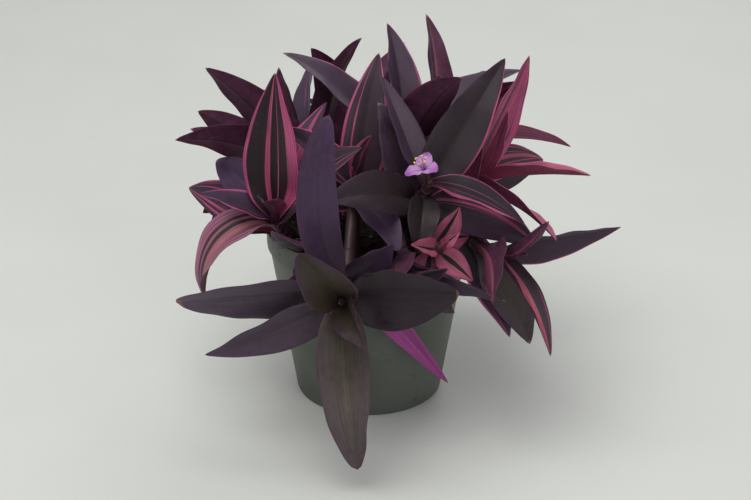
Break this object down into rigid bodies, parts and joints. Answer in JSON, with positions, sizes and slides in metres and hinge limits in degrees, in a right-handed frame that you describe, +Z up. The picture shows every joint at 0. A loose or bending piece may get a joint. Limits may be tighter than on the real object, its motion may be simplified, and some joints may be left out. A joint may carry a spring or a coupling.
{
  "type": "potted tradescantia",
  "caption": "Round nursery pot of potting soil with a bushy purple tradescantia: jointed stems, long folded leaves, some striped with pink, and a small lilac flower.",
  "frame": {"origin": "centre of the pot's base, on the surface it stands on", "axes": "+Z up along the pot's axis; -Y towards the front of the plant, where the lowest dark rosette hangs over the rim; +X to the right as seen from the front"},
  "size_m": [0.2537, 0.2635, 0.2092],
  "materials": {
    "pot_plastic": "moulded grey-green plastic, slightly satin",
    "soil": "damp dark peat with crumbs",
    "leaf_dark": "satin, dark purple with a blue-grey bloom, plum underneath",
    "leaf_striped": "satin, dark purple-green striped lengthwise with pink",
    "leaf_pink": "satin, mostly pink and salmon with dark stripes",
    "petal": "matt lilac petals with yellow anthers"
  },
  "bodies": {
    "root": {"pot": "pot_plastic", "soil": "soil", "shoot_front_dark": "leaf_dark", "shoot_left_striped": "leaf_striped", "shoot_flowering": "leaf_striped", "shoot_small_pink": "leaf_pink", "shoot_middle_striped": "leaf_striped", "shoot_tall_dark": "leaf_dark", "shoot_front_left": "leaf_dark", "shoot_front_right": "leaf_dark", "shoot_right_low": "leaf_dark", "shoot_left_low": "leaf_dark", "shoot_right_pink": "leaf_pink", "shoot_back_left": "leaf_dark", "shoot_back_right": "leaf_striped", "shoot_back": "leaf_dark", "flower": "petal"}
  },
  "joints": []
}
